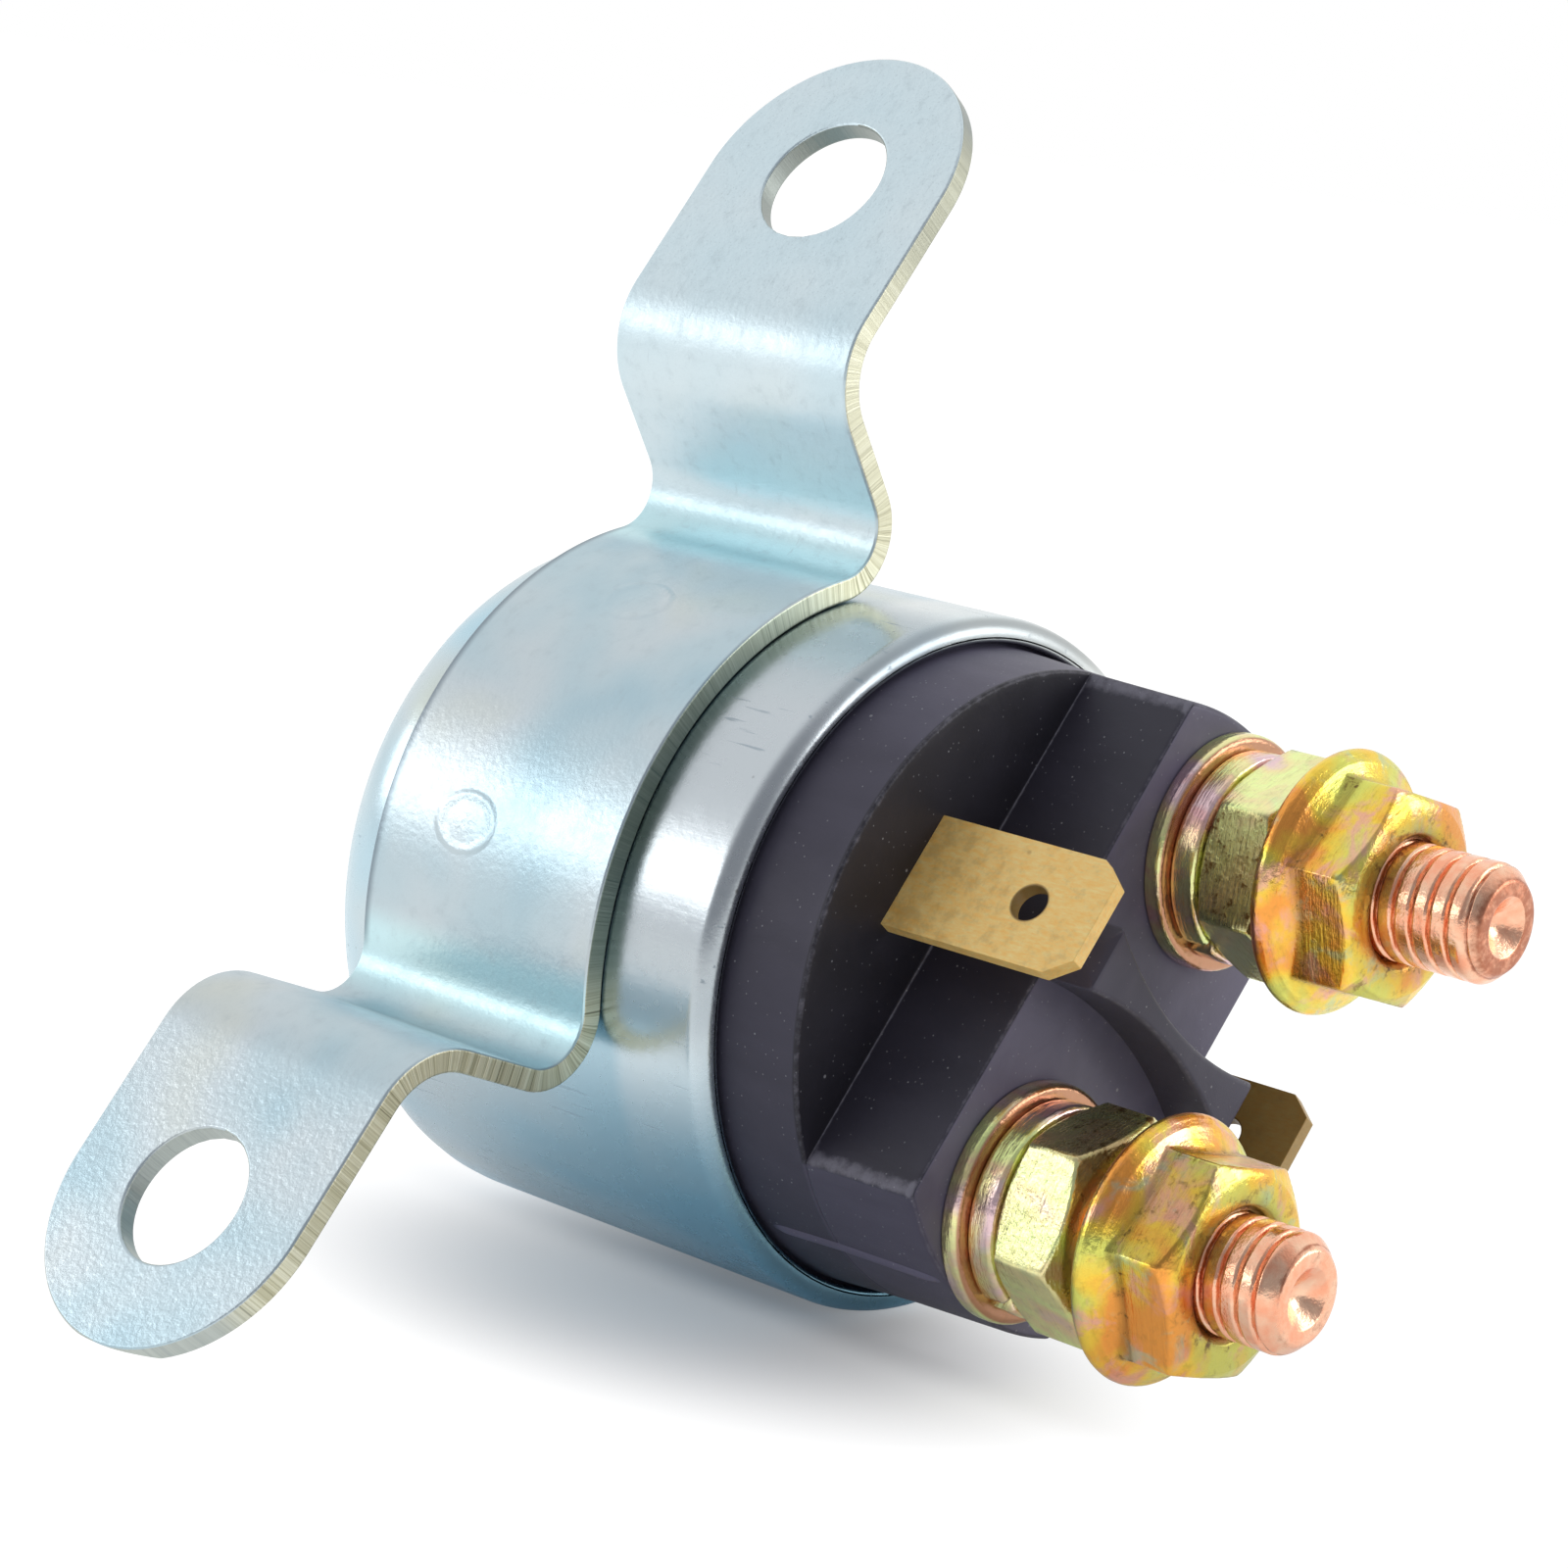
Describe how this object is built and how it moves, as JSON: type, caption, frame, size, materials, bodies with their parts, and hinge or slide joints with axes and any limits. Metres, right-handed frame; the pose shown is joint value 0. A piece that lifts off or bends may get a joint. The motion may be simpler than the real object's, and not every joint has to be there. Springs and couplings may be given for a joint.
{
  "type": "starter solenoid relay",
  "caption": "Round metal starter relay on a strap with bolt ears; a black cap carries threaded copper studs with nuts and upright blade terminals.",
  "frame": {"origin": "centre of the can's closed flat back, which the relay stands on", "axes": "+Z along the can's axis towards the studs, X from ear to ear, and the ears' mounting faces look along -Y"},
  "size_m": [0.0772, 0.0406, 0.0567],
  "materials": {
    "zinc_steel": "bright zinc plate, blue passivated",
    "black_plastic": "moulded, satin",
    "black_rubber": "moulded",
    "copper": "bare copper",
    "yellow_zinc_steel": "yellow chromated zinc plate",
    "brass_sheet": "rolled",
    "pressed_fibre": "dull",
    "natural_nylon": "moulded, satin",
    "enamelled_wire": "enamelled copper",
    "green_tape": "satin film",
    "soft_iron": "machined",
    "bright_steel": "ground",
    "black_spring_steel": "blackened",
    "spring_wire": "drawn",
    "white_resin": "moulded"
  },
  "bodies": {
    "relay": {"can_shell": "zinc_steel", "mounting_strap": "zinc_steel", "terminal_cap": "black_plastic", "cap_gasket": "black_rubber", "terminal_stud_a": "copper", "terminal_stud_b": "copper", "flat_washers": "yellow_zinc_steel", "spring_washers": "yellow_zinc_steel", "clamp_nuts": "yellow_zinc_steel", "flange_nut_a": "yellow_zinc_steel", "flange_nut_b": "yellow_zinc_steel", "blade_terminal_front": "brass_sheet", "blade_terminal_rear": "brass_sheet", "base_disc": "pressed_fibre", "coil_bobbin": "natural_nylon", "coil_winding": "enamelled_wire", "winding_tape": "green_tape", "coil_lead_front": "enamelled_wire", "coil_lead_rear": "enamelled_wire", "pole_plate": "soft_iron", "fixed_core": "soft_iron"},
    "plunger_group": {"plunger": "soft_iron", "push_rod": "bright_steel", "retaining_clip": "black_spring_steel", "return_spring": "spring_wire"},
    "contact_bridge": {"contact_disc": "copper", "contact_bush": "white_resin", "contact_washer": "white_resin", "contact_spring": "spring_wire"}
  },
  "joints": [
    {"name": "plunger_slide", "type": "slide", "parent": "relay", "child": "plunger_group", "axis": [0, 0, 1], "range_m": [0, 0.0025], "stiffness_N_per_m": 500, "springref_m": -0.005, "deforming": ["return_spring"]},
    {"name": "contact_slide", "type": "slide", "parent": "plunger_group", "child": "contact_bridge", "axis": [0, 0, 1], "range_m": [-0.0006, 0], "stiffness_N_per_m": 800, "springref_m": 0.004, "deforming": ["contact_spring"]}
  ]
}
